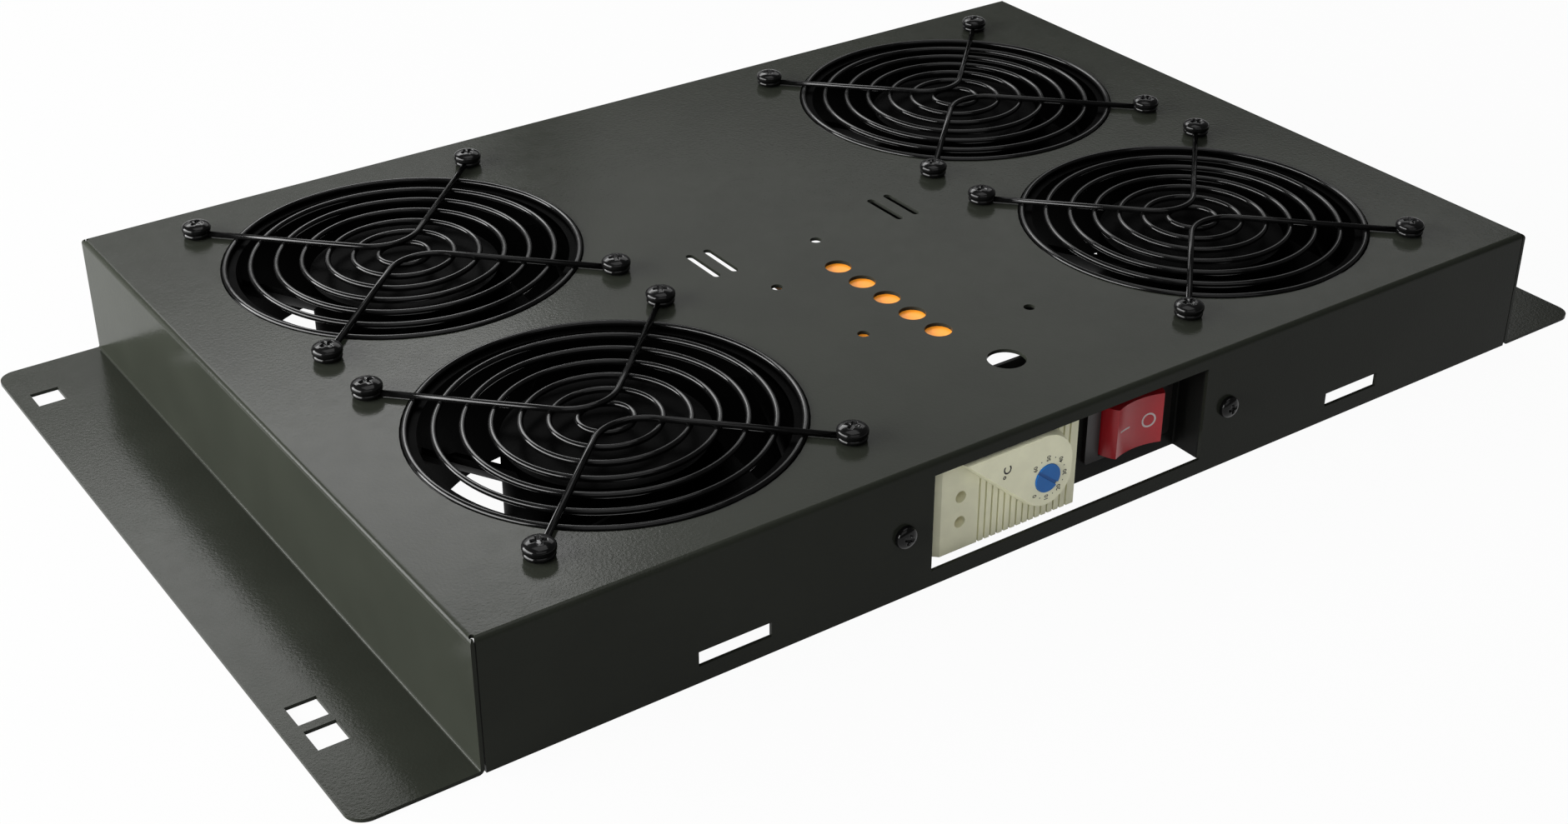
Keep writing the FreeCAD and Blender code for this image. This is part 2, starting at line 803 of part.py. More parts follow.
def terminal_screws():
    """Slotted screw heads at the bottoms of the terminal holes."""
    seat = thermostat_face_y + terminal_hole_depth
    front = seat - terminal_screw_height
    solids = []
    for x, z in terminal_hole_places:
        head = cylinder_along_y(terminal_screw_radius, front, seat, x, z)
        slot = box((x - terminal_hole_radius, front - 1, z - terminal_slot_width / 2),
                   (x + terminal_hole_radius, front + terminal_slot_depth, z + terminal_slot_width / 2))
        solids.append(head.cut(slot))
    return Part.makeCompound(solids)


def pivot_place():
    """Rocker axis: on the front plane of the switch plate's rear face."""
    return switch_centre[0], switch_plate_y + sheet / 2


def rocker_face(z):
    """Rocker outline in plan: round ends about the pivot and a dished front."""
    px, py = pivot_place()
    half = rocker_length / 2
    front = py - rocker_proud
    radius = math.hypot(half, rocker_proud)
    back_y = py + rocker_inner_depth
    back_x = math.sqrt(radius ** 2 - rocker_inner_depth ** 2)
    dish = V(px, front + rocker_dish, z)
    left_ridge = V(px - half, front, z)
    right_ridge = V(px + half, front, z)
    left_back = V(px - back_x, back_y, z)
    right_back = V(px + back_x, back_y, z)
    edges = [Part.Arc(left_ridge, dish, right_ridge),
             Part.Arc(right_ridge, V(px + radius, py, z), right_back),
             Part.LineSegment(right_back, left_back),
             Part.Arc(left_back, V(px - radius, py, z), left_ridge)]
    return Part.Face(Part.Wire([e.toShape() for e in edges])), radius


def switch_rocker():
    x, y = pivot_place()
    z = switch_centre[1]
    low = z - rocker_height / 2
    face, radius = rocker_face(low)
    cap = face.extrude(V(0, 0, rocker_height))
    pin = cylinder(pivot_radius, low - pivot_length, low + rocker_height + pivot_length, x, y)
    return fuse_all([cap, pin])


def switch_body():
    """Bezel and body in one moulding, open at the front for the rocker."""
    cx, cz = switch_centre
    px, py = pivot_place()
    radius = rocker_face(0)[1] + rocker_clearance
    inner = rocker_height / 2 + rocker_clearance
    bezel = box((cx - bezel_length / 2, switch_plate_y - bezel_thickness, cz - bezel_height / 2),
                (cx + bezel_length / 2, switch_plate_y, cz + bezel_height / 2))
    rim = [e for e in bezel.Edges if abs(e.tangentAt(e.FirstParameter).y) > 0.9]
    bezel = bezel.makeFillet(bezel_corner_radius, rim)
    body = box((cx - switch_body_length / 2, switch_plate_y, cz - switch_body_height / 2),
               (cx + switch_body_length / 2, switch_plate_y + switch_body_depth, cz + switch_body_height / 2))
    housing = fuse_all([bezel, body])
    cavity = cylinder(radius, cz - inner, cz + inner, px, py)
    throat = box((px - radius, switch_plate_y - bezel_thickness - 1, cz - inner), (px + radius, py, cz + inner))
    housing = housing.cut([cavity, throat])
    bore = pivot_radius + pivot_clearance
    end = inner + pivot_length
    return housing.cut(cylinder(bore, cz - end, cz + end, px, py))


def switch_terminals():
    cx, cz = switch_centre
    back = switch_plate_y + switch_body_depth
    tags = []
    for sx in (-1, 1):
        for sz in (-1, 1):
            x = cx + sx * spade_spacing_x / 2
            z = cz + sz * spade_spacing_z / 2
            tags.append(box((x - spade_thickness / 2, back, z - spade_width / 2),
                            (x + spade_thickness / 2, back + spade_length, z + spade_width / 2)))
    return Part.makeCompound(tags)


def save(name, shape):
    moved = shape.copy()
    moved.translate(V(0, -origin_y, 0))
    moved.exportStep("parts/" + name + ".step")


def main():
    save("tray_body", tray_body())
    save("accent_plate", accent_plate())
    for name, (x, y) in fan_places.items():
        save("fan_frame_" + name, fan_frame(x, y))
        save("fan_spider_" + name, fan_spider(x, y))
        save("fan_stator_" + name, fan_stator(x, y))
        save("fan_impeller_" + name, fan_impeller(x, y))
    save("finger_guards", Part.makeCompound([finger_guard(x, y) for x, y in fan_places.values()]))
    save("fan_terminals", Part.makeCompound([fan_terminal_block(x, y) for x, y in fan_places.values()]))
    save("guard_screws", Part.makeCompound([guard_screw(x, y) for x, y in fan_screw_places()]))
    nut_low = underside - fan_flange - nut_height
    save("guard_nuts", Part.makeCompound([nut(nut_low, x, y) for x, y in fan_screw_places()]))
    save("control_bracket", control_bracket())
    save("bracket_screws", Part.makeCompound([bracket_screw(side) for side in (-1, 1)]))
    save("bracket_nuts", Part.makeCompound([bracket_nut(side) for side in (-1, 1)] + [rail_nut()]))
    save("mounting_rail", mounting_rail())
    save("rail_screw", rail_screw())
    save("thermostat_front", thermostat_front())
    save("thermostat_base", thermostat_base())
    save("thermostat_dial", thermostat_dial())
    save("terminal_screws", terminal_screws())
    save("switch_body", switch_body())
    save("switch_rocker", switch_rocker())
    save("switch_terminals", switch_terminals())


main()
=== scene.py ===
import logging
import math
from dataclasses import dataclass, field
from enum import Enum

import bpy
import numpy as np
from mathutils import Matrix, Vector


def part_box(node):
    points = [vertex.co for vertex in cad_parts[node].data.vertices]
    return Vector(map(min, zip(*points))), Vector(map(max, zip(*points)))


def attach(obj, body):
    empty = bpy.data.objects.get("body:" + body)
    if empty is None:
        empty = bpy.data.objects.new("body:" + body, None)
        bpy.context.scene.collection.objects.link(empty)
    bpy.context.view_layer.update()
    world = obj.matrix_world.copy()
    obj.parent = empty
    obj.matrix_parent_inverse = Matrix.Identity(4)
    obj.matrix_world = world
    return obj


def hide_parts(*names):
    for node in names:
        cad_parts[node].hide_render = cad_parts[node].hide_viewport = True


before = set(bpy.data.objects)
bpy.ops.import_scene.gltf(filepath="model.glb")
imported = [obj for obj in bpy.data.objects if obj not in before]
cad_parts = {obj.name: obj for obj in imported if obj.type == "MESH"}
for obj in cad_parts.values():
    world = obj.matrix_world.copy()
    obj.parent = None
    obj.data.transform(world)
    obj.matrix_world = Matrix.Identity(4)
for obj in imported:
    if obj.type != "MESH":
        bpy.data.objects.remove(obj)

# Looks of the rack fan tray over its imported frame.
#
# Metres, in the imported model's own frame: x to the right along the front skirt, y to the
# back, z up. The front skirt's outer face is at y = FRONT.

log = logging.getLogger("fan_tray")
MM = 0.001
FRONT = -139.6 * MM
# How far print stands off its surface.
PRINT_LIFT = 0.03 * MM
# Share of the letters' size by which their strokes are widened.
BOLDNESS = 0.02
# Three numbers: a colour, a place, a turn or a set of shares.
Triple = tuple[float, float, float]
# Two numbers: a place in a plane, or a range.
Pair = tuple[float, float]


class Hand(Enum):
    """Which way an arm of a guard bends."""

    TO_FRONT = -1
    TO_BACK = 1


class Facing(Enum):
    """Direction in which a screw's head points."""

    UP = "up"
    FORWARD = "forward"


class Tone:
    """A node's output socket, with Python's operators standing for Math nodes."""

    def __init__(self, board: "Board", socket: bpy.types.NodeSocket) -> None:
        """Keep the socket and the board that it lies on."""
        self.board = board
        self.socket = socket

    def _math(self, operation: str, first: object, second: object = None) -> "Tone":
        """Add one Math node.

        Args:
            operation: the node's operation.
            first: its first value, a Tone or a number.
            second: its second value, where the operation takes one.

        Returns:
            The node's result.
        """
        given = {0: first} if second is None else {0: first, 1: second}
        return self.board.add("ShaderNodeMath", {"operation": operation}, given)

    def __add__(self, other: object) -> "Tone":
        """Sum of both."""
        return self._math("ADD", self, other)

    __radd__ = __add__

    def __sub__(self, other: object) -> "Tone":
        """This less the other."""
        return self._math("SUBTRACT", self, other)

    def __mul__(self, other: object) -> "Tone":
        """Product of both."""
        return self._math("MULTIPLY", self, other)

    __rmul__ = __mul__

    def most(self, other: object) -> "Tone":
        """The larger of both."""
        return self._math("MAXIMUM", self, other)

    def rise(self, low: float, high: float) -> "Tone":
        """Smooth step from 0 at low to 1 at high."""
        settings = {"interpolation_type": "SMOOTHSTEP"}
        given = {"Value": self, "From Min": low, "From Max": high}
        return self.board.add("ShaderNodeMapRange", settings, given)


class Board:
    """Node tree of one material, and the one place where its nodes are added."""

    def __init__(self, tree: bpy.types.NodeTree) -> None:
        """Start from an empty tree."""
        self.material: bpy.types.Material | None = None
        self.tree = tree
        self.tree.nodes.clear()

    @classmethod
    def of_material(cls, name: str) -> "Board":
        """Board of a new material with this name."""
        material = bpy.data.materials.new(name)
        material.use_nodes = True
        board = cls(material.node_tree)
        board.material = material
        return board

    def add(self, kind: str, settings: dict | None = None, inputs: dict | None = None,
            output: int | str = 0) -> Tone:
        """Add any node.

        Args:
            kind: the node's type.
            settings: its own settings; "stops" holds a ramp's places and colours.
            inputs: values or Tones for its sockets, by name or number.
            output: the socket that the result stands for.

        Returns:
            The chosen output.
        """
        node = self.tree.nodes.new(kind)
        for key, value in (settings or {}).items():
            if key == "stops":
                ramp = node.color_ramp.elements
                while len(ramp) < len(value):
                    ramp.new(1.0)
                for element, (place, colour) in zip(ramp, value):
                    element.position = place
                    element.color = (*colour, 1.0)
            else:
                setattr(node, key, value)
        for key, value in (inputs or {}).items():
            if isinstance(value, Tone):
                self.tree.links.new(value.socket, node.inputs[key])
            else:
                node.inputs[key].default_value = value
        return Tone(self, node.outputs[output])

    def place(self, turn: Triple = (0.0, 0.0, 0.0), stretch: Triple = (1.0, 1.0, 1.0)) -> Tone:
        """Object coordinates, turned and stretched by a Mapping node."""
        where = self.add("ShaderNodeTexCoord", output="Object")
        given = {"Vector": where, "Rotation": turn, "Scale": stretch}
        return self.add("ShaderNodeMapping", {}, given)

    def noise(self, size: float, detail: float = 2.0, where: Tone | None = None) -> Tone:
        """Noise about 0.5 whose features are about size metres across."""
        vector = where or self.place()
        given = {"Vector": vector, "Scale": 1.0 / size, "Detail": detail}
        return self.add("ShaderNodeTexNoise", {}, given)

    def blend(self, share: Tone, first: Triple, second: Triple) -> Tone:
        """Colour between the first and the second."""
        given = {0: share, 6: (*first, 1.0), 7: (*second, 1.0)}
        return self.add("ShaderNodeMix", {"data_type": "RGBA"}, given, output=2)

    def bump(self, height: Tone, depth: float) -> Tone:
        """Normal of a surface whose height runs over depth metres."""
        given = {"Strength": 1.0, "Distance": depth, "Height": height}
        return self.add("ShaderNodeBump", {}, given)

    def close(self, **sockets: object) -> bpy.types.Material:
        """Add the Principled shader and the output.

        Args:
            sockets: values or Tones for the shader's sockets, with _ for spaces.

        Returns:
            The finished material.
        """
        given = {key.replace("_", " "): value for key, value in sockets.items()}
        shader = self.add("ShaderNodeBsdfPrincipled", {}, given)
        self.add_output(shader)
        return self.material

    def add_output(self, shader: Tone) -> None:
        """Join a shader to the tree's output."""
        out = self.tree.nodes.new("ShaderNodeOutputMaterial")
        self.tree.links.new(shader.socket, out.inputs["Surface"])


def scaled(colour: Triple, share: float) -> Triple:
    """Colour made darker or lighter by a share."""
    return tuple(min(1.0, channel * share) for channel in colour)


@dataclass(frozen=True)
class PowderCoat:
    """Sprayed and baked coat on steel: an even colour under a fine orange peel."""

    name: str
    colour: Triple
    peel_size: float = 0.9 * MM
    peel_depth: float = 0.032 * MM
    roughness: float = 0.12
    specular: float = 0.05
    fine_size: float = 0.45
    fine_share: float = 0.35
    drift_size: float = 38 * MM
    drift_range: Pair = (0.92, 1.06)
    gloss_size: float = 6 * MM
    gloss_drift: float = 0.10

    def make(self) -> bpy.types.Material:
        """Peel is a noise and a finer one at a third; the colour wanders over centimetres."""
        board = Board.of_material(self.name)
        fine = board.noise(self.peel_size * self.fine_size, 1.0)
        peel = board.noise(self.peel_size, 1.0) + self.fine_share * fine
        drift = board.noise(self.drift_size, 3.0).rise(0.3, 0.7)
        dark, light = (scaled(self.colour, share) for share in self.drift_range)
        colour = board.blend(drift, dark, light)
        rough = self.roughness + self.gloss_drift * board.noise(self.gloss_size, 2.0)
        return board.close(Base_Color=colour, Roughness=rough, Specular_IOR_Level=self.specular,
                           Normal=board.bump(peel, self.peel_depth))


@dataclass(frozen=True)
class GlossBlack:
    """Dipped gloss black on wire and screws, with faint dust in the finish."""

    name: str
    colour: Triple
    roughness: float = 0.14
    specular: float = 0.5
    ripple_size: float = 2 * MM
    ripple_depth: float = 0.004 * MM
    patch_size: float = 3.5 * MM
    patch_lift: float = 1.6
    patch_dulling: float = 0.10

    def make(self) -> bpy.types.Material:
        """Small patches are duller and lighter; the surface ripples slightly."""
        board = Board.of_material(self.name)
        patches = board.noise(self.patch_size, 3.0).rise(0.35, 0.75)
        colour = board.blend(patches, self.colour, scaled(self.colour, self.patch_lift))
        rough = self.roughness + self.patch_dulling * patches
        ripple = board.noise(self.ripple_size, 1.0)
        return board.close(Base_Color=colour, Roughness=rough, Specular_IOR_Level=self.specular,
                           Normal=board.bump(ripple, self.ripple_depth))


@dataclass(frozen=True)
class Moulding:
    """Injection-moulded plastic with a spark-eroded grain."""

    name: str
    colour: Triple
    grain: float = 0.35 * MM
    depth: float = 0.008 * MM
    roughness: float = 0.42
    specular: float = 0.4
    drift_size: float = 9 * MM
    drift_range: Pair = (0.95, 1.04)
    gloss_size: float = 2.2 * MM
    gloss_drift: float = 0.08

    def make(self) -> bpy.types.Material:
        """Grain is one fine noise; colour and gloss wander a little over a few millimetres."""
        board = Board.of_material(self.name)
        drift = board.noise(self.drift_size, 3.0).rise(0.3, 0.7)
        dark, light = (scaled(self.colour, share) for share in self.drift_range)
        colour = board.blend(drift, dark, light)
        rough = self.roughness + self.gloss_drift * (board.noise(self.gloss_size, 2.0) - 0.5)
        return board.close(Base_Color=colour, Roughness=rough, Specular_IOR_Level=self.specular,
                           Normal=board.bump(board.noise(self.grain, 2.0), self.depth))


@dataclass(frozen=True)
class BareMetal:
    """Plated or rolled metal with fine drawn lines."""

    name: str
    colour: Triple
    turn: Triple = (0.0, 0.0, 0.0)
    roughness: float = 0.3
    line_size: float = 0.5 * MM
    line_stretch: Triple = (0.025, 1.0, 1.0)
    line_depth: float = 0.003 * MM
    spot_size: float = 2.5 * MM
    spot_shade: float = 0.75
    spot_dulling: float = 0.15

    def make(self) -> bpy.types.Material:
        """Lines are a noise stretched forty times along one axis; another makes dull spots."""
        board = Board.of_material(self.name)
        lines = board.noise(self.line_size, 2.0, board.place(self.turn, self.line_stretch))
        spots = board.noise(self.spot_size, 3.0).rise(0.4, 0.8)
        colour = board.blend(spots, self.colour, scaled(self.colour, self.spot_shade))
        rough = self.roughness + self.spot_dulling * spots
        return board.close(Base_Color=colour, Roughness=rough, Metallic=1.0,
                           Normal=board.bump(lines, self.line_depth))


@dataclass(frozen=True)
class PrintInk:
    """Thin print or paint on a moulding, a little worn."""

    name: str
    colour: Triple
    worn: Triple
    speck_size: float = 0.4 * MM
    roughness: float = 0.5
    speck_dulling: float = 0.2
    specular: float = 0.3

    def make(self) -> bpy.types.Material:
        """Worn specks follow a fine noise."""
        board = Board.of_material(self.name)
        specks = board.noise(self.speck_size, 3.0).rise(0.62, 0.8)
        colour = board.blend(specks, self.colour, self.worn)
        rough = self.roughness + self.speck_dulling * specks
        return board.close(Base_Color=colour, Roughness=rough, Specular_IOR_Level=self.specular)


class Surface:
    """Points and faces of one piece, gathered from grids of points."""

    def __init__(self) -> None:
        """Start empty."""
        self.points: list[np.ndarray] = []
        self.faces: list[list[int]] = []
        self.count = 0

    def grid(self, points: np.ndarray, round_rows: bool, round_columns: bool,
             caps: bool = False) -> None:
        """Add a grid of points as quads.

        Args:
            points: array of rows by columns by 3.
            round_rows: the last row joins the first.
            round_columns: the last column joins the first.
            caps: the first and last rows are each closed by a face.
        """
        rows, columns = points.shape[:2]
        across = np.arange(columns if round_columns else columns - 1)
        along = np.arange(rows if round_rows else rows - 1)[:, None]
        here = along * columns + across
        right = along * columns + (across + 1) % columns
        up = (along + 1) % rows * columns + across
        far = (along + 1) % rows * columns + (across + 1) % columns
        quads = np.stack([here, right, far, up], axis=-1).reshape(-1, 4) + self.count
        self.faces += quads.tolist()
        if caps:
            first = np.arange(columns) + self.count
            last = first + (rows - 1) * columns
            self.faces += [first[::-1].tolist(), last.tolist()]
        self.points.append(points.reshape(-1, 3))
        self.count += rows * columns

    def plate(self, outline: np.ndarray, faces: list[list[int]]) -> None:
        """Add points with their own faces."""
        self.faces += [[i + self.count for i in face] for face in faces]
        self.points.append(outline)
        self.count += len(outline)

    def piece(self, name: str, material: bpy.types.Material,
              smooth: bool = True) -> bpy.types.Object:
        """Make the object, at the origin, with its faces pointing outwards as built."""
        mesh = bpy.data.meshes.new(name)
        mesh.from_pydata(np.concatenate(self.points).tolist(), [], self.faces)
        mesh.polygons.foreach_set("use_smooth", np.full(len(self.faces), smooth))
        mesh.materials.append(material)
        mesh.update()
        made = bpy.data.objects.new(name, mesh)
        bpy.context.scene.collection.objects.link(made)
        return made


def report(piece: bpy.types.Object) -> None:
    """Write the piece's name and its number of faces to the log."""
    log.info("%s: %d faces", piece.name, len(piece.data.polygons))


def dress(finish: bpy.types.Material, *nodes: str) -> None:
    """Give CAD nodes a finish in their first material slot."""
    for node in nodes:
        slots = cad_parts[node].data.materials
        if slots:
            slots[0] = finish
        else:
            slots.append(finish)
        log.info("%s: %s", node, finish.name)


@dataclass(frozen=True)
class PhotoCamera:
    """Camera at the photograph's viewing angle, in pixels of its 1881 by 989 image."""

    width: float = 1881.0
    height: float = 989.0
    focal: float = 2676.296
    centre: Pair = (940.445, 465.561)
    place: Triple = (-0.404414, -0.560611, 0.384388)
    azimuth: float = -35.12091
    elevation: float = 30.09792
    roll: float = 0.13132
    sensor: float = 36.0

    def axes(self) -> np.ndarray:
        """Columns are the camera's right, up and backward directions, turned by the roll."""
        a, e, r = np.radians([self.azimuth, self.elevation, self.roll])
        back = np.array([np.sin(a) * np.cos(e), -np.cos(a) * np.cos(e), np.sin(e)])
        right = np.cross([0.0, 0.0, 1.0], back)
        right /= np.linalg.norm(right)
        up = np.cross(back, right)
        turned_right = np.cos(r) * right + np.sin(r) * up
        turned_up = np.cos(r) * up - np.sin(r) * right
        return np.column_stack([turned_right, turned_up, back])

    def make(self) -> None:
        """Create the camera and make it the scene's."""
        data = bpy.data.cameras.new("photo_camera")
        data.sensor_width = self.sensor
        data.lens = self.focal * self.sensor / self.width
        data.shift_x = (self.width / 2 - self.centre[0]) / self.width
        data.shift_y = (self.centre[1] - self.height / 2) / self.width
        data.clip_start = 0.01
        made = bpy.data.objects.new("photo_camera", data)
        matrix = np.eye(4)
        matrix[:3, :3] = self.axes()
        matrix[:3, 3] = self.place
        made.matrix_world = Matrix(matrix.tolist())
        bpy.context.scene.collection.objects.link(made)
        bpy.context.scene.camera = made


@dataclass(frozen=True)
class SoftBox:
    """Rectangular lamp that faces a point in the tray."""

    name: str
    azimuth: float
    elevation: float
    distance: float
    width: float
    height: float
    glow: float
    target: Triple = (0.0, 0.0, 0.02)

    def make(self) -> None:
        """Azimuth counts from +x towards +y; glow is the lamp's brightness where 1 is white."""
        a, e = math.radians(self.azimuth), math.radians(self.elevation)
        toward = np.array([math.cos(a) * math.cos(e), math.sin(a) * math.cos(e), math.sin(e)])
        right = np.array([-math.sin(a), math.cos(a), 0.0])
        data = bpy.data.lights.new(self.name, "AREA")
        data.shape = "RECTANGLE"
        data.size = self.width
        data.size_y = self.height
        data.energy = self.glow * math.pi * self.width * self.height
        made = bpy.data.objects.new(self.name, data)
        matrix = np.eye(4)
        matrix[:3, :3] = np.column_stack([right, np.cross(toward, right), toward])
        matrix[:3, 3] = np.array(self.target) + toward * self.distance
        made.matrix_world = Matrix(matrix.tolist())
        bpy.context.scene.collection.objects.link(made)


@dataclass(frozen=True)
class Studio:
    """Plain pale floor, soft lamps and a dim even surround."""

    floor_size: float = 9.0
    floor_colour: Triple = (0.33, 0.33, 0.33)
    floor_glow: float = 0.96
    grain_size: float = 4 * MM
    grain_range: Pair = (0.98, 1.02)
    surround: float = 0.16
    lamps: tuple[SoftBox, ...] = (
        SoftBox("back_low_box", 85, 23, 1.7, 1.02, 0.42, 1.3),
        SoftBox("back_high_box", 85, 37.5, 1.7, 1.02, 0.45, 8.6),
        SoftBox("right_box", 45, 34, 1.8, 1.1, 0.7, 1.6),
        SoftBox("top_box", 0, 88, 1.4, 1.0, 1.0, 2.2),
        SoftBox("left_box", 165, 16, 1.2, 1.6, 0.6, 19.0),
        SoftBox("front_box", 250, 38, 1.5, 1.4, 0.9, 1.1),
    )

    def floor_material(self) -> bpy.types.Material:
        """Floor that rays from the camera, mirrors and glass see as white under a faint shadow."""
        board = Board.of_material("floor_paper")
        path = board.add("ShaderNodeLightPath", output="Is Camera Ray")
        glossy = board.add("ShaderNodeLightPath", output="Is Glossy Ray")
        through = board.add("ShaderNodeLightPath", output="Is Transmission Ray")
        seen = path.most(glossy).most(through)
        grain = board.noise(self.grain_size, 2.0)
        dark, light = (scaled(self.floor_colour, share) for share in self.grain_range)
        colour = board.blend(grain, dark, light)
        paper = board.add("ShaderNodeBsdfDiffuse", {}, {"Color": colour})
        glow = board.add("ShaderNodeEmission", {}, {"Color": (1.0, 1.0, 1.0, 1.0), "Strength": 1.0})
        mixed = board.add("ShaderNodeMixShader", {}, {0: seen * self.floor_glow, 1: paper, 2: glow})
        board.add_output(mixed)
        return board.material

    def make(self) -> None:
        """Build the floor, the lamps and the surround."""
        floor = Surface()
        half = self.floor_size / 2
        near = [[-half, -half, 0], [half, -half, 0]]
        far = [[-half, half, 0], [half, half, 0]]
        floor.grid(np.array([near, far]), False, False)
        floor.piece("floor", self.floor_material(), smooth=False)
        for lamp in self.lamps:
            lamp.make()
        world = bpy.data.worlds.new("surround")
        world.use_nodes = True
        board = Board(world.node_tree)
        level = (self.surround,) * 3
        sky = board.add("ShaderNodeBackground", {}, {"Color": (*level, 1.0), "Strength": 1.0})
        out = board.tree.nodes.new("ShaderNodeOutputWorld")
        board.tree.links.new(sky.socket, out.inputs["Surface"])
        bpy.context.scene.world = world


@dataclass
class TrayShell:
    """Folded tray, the orange plate behind its round windows and the control bracket."""

    coat: PowderCoat = PowderCoat("tray_powder_coat", (0.0158, 0.0174, 0.0136))
    orange: PowderCoat = PowderCoat("accent_orange_coat", (0.90, 0.30, 0.018), roughness=0.35,
                                    specular=0.4)
    bracket: PowderCoat = PowderCoat("bracket_powder_coat", (0.008, 0.0083, 0.0075), roughness=0.4)

    def build(self) -> None:
        """Dress the three sheets."""
        dress(self.coat.make(), "tray_body")
        dress(self.orange.make(), "accent_plate")
        dress(self.bracket.make(), "control_bracket")


@dataclass
class Fans:
    """Four axial fans: cast frames and motor mounts, stators, impellers and tag blocks; the frames,
    mounts and impellers carry painted shade.
    """

    places: tuple[str, ...] = ("front_left", "front_right", "rear_left", "rear_right")
    # Frames, motor mounts and impellers are black, but their colour is darkened to almost nothing
    # and their reflection nearly removed: painted shade of the fans' dark inside over black paint
    # and plastic.
    frame_black_and_shade: PowderCoat = PowderCoat("fan_frame_paint", (0.0004, 0.0004, 0.0004),
                                         peel_size=1.4 * MM, roughness=0.5, specular=0.01)
    blade_black_and_shade: Moulding = Moulding("impeller_black_and_shade", (0.0004, 0.0004, 0.0004), roughness=0.5,
                               specular=0.01)
    core: BareMetal = BareMetal("stator_steel", (0.06, 0.06, 0.062), (0.0, math.pi / 2, 0.0), 0.45)
    block: Moulding = Moulding("tag_block_moulding", (0.03, 0.03, 0.03))

    def build(self) -> None:
        """Dress each fan's nodes."""
        castings = [kind + p for kind in ("fan_frame_", "fan_spider_") for p in self.places]
        dress(self.frame_black_and_shade.make(), *castings)
        dress(self.blade_black_and_shade.make(), *("fan_impeller_" + p for p in self.places))
        dress(self.core.make(), *("fan_stator_" + p for p in self.places))
        dress(self.block.make(), "fan_terminals")


@dataclass
class FingerGuards:
    """Welded guards of round wire: rings under two bent arms whose ends loop round the screws."""

    wire: float = 1.02 * MM
    rings: int = 7
    pitch: float = 8.5 * MM
    bend: float = 15.0 * MM
    reach: float = 52.4 * MM
    arm_z: float = 45.0 * MM
    ring_z: float = 43.62 * MM
    eye: float = 3.65 * MM
    sides: int = 16
    ring_steps: int = 120
    eye_steps: int = 40
    bend_steps: int = 25
    places: dict[str, Pair] = field(default_factory=lambda: {
        "front_left": (-119.85 * MM, -64.0 * MM), "front_right": (119.85 * MM, -64.0 * MM),
        "rear_left": (-119.85 * MM, 68.5 * MM), "rear_right": (119.85 * MM, 68.5 * MM)})
    finish: GlossBlack = GlossBlack("guard_wire_coat", (0.0015, 0.0015, 0.0015), roughness=0.10,
                                    specular=0.17)

    def ring(self, surface: Surface, x: float, y: float, z: float, radius: float,
             steps: int) -> None:
        """Torus: a circle of the wire's radius carried round a level circle about (x, y, z)."""
        u = np.linspace(0, 2 * np.pi, steps, endpoint=False)[:, None]
        v = np.linspace(0, 2 * np.pi, self.sides, endpoint=False)[None, :]
        out = radius + self.wire * np.cos(v)
        points = np.stack([x + out * np.cos(u), y + out * np.sin(u),
                           z + self.wire * np.sin(v) + 0 * u], axis=-1)
        surface.grid(points, True, True)

    def arm(self, surface: Surface, x: float, y: float, hand: Hand) -> None:
        """Wire along a level path: from one eye, a quarter turn past the centre, to the other."""
        turn = np.radians(np.linspace(-135, -45, self.bend_steps))
        middle = np.column_stack([self.bend * np.cos(turn),
                                  self.bend * (math.sqrt(2) + np.sin(turn))])
        tip = self.reach - self.eye / math.sqrt(2)
        path = np.concatenate([[[-tip, tip]], middle, [[tip, tip]]])
        path[:, 1] *= hand.value
        way = np.gradient(path, axis=0)
        way[0], way[-1] = path[1] - path[0], path[-1] - path[-2]
        way /= np.linalg.norm(way, axis=1)[:, None]
        side = np.column_stack([way[:, 1], -way[:, 0]])
        v = np.linspace(0, 2 * np.pi, self.sides, endpoint=False)[None, :]
        points = np.stack([x + path[:, :1] + self.wire * side[:, :1] * np.cos(v),
                           y + path[:, 1:] + self.wire * side[:, 1:] * np.cos(v),
                           self.arm_z + self.wire * np.sin(v) + 0 * path[:, :1]], axis=-1)
        surface.grid(points, False, True, caps=True)

    def build(self) -> None:
        """Make one piece for each guard."""
        finish = self.finish.make()
        for place, (x, y) in self.places.items():
            surface = Surface()
            for k in range(1, self.rings + 1):
                self.ring(surface, x, y, self.ring_z, k * self.pitch, self.ring_steps)
            for hand in Hand:
                self.arm(surface, x, y, hand)
            for sx in (-1, 1):
                for sy in (-1, 1):
                    self.ring(surface, x + sx * self.reach, y + sy * self.reach, self.arm_z,
                              self.eye, self.eye_steps)
            made = surface.piece("wire_guard_" + place, finish)
            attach(made, "tray")
            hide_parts("finger_guards")
            report(made)


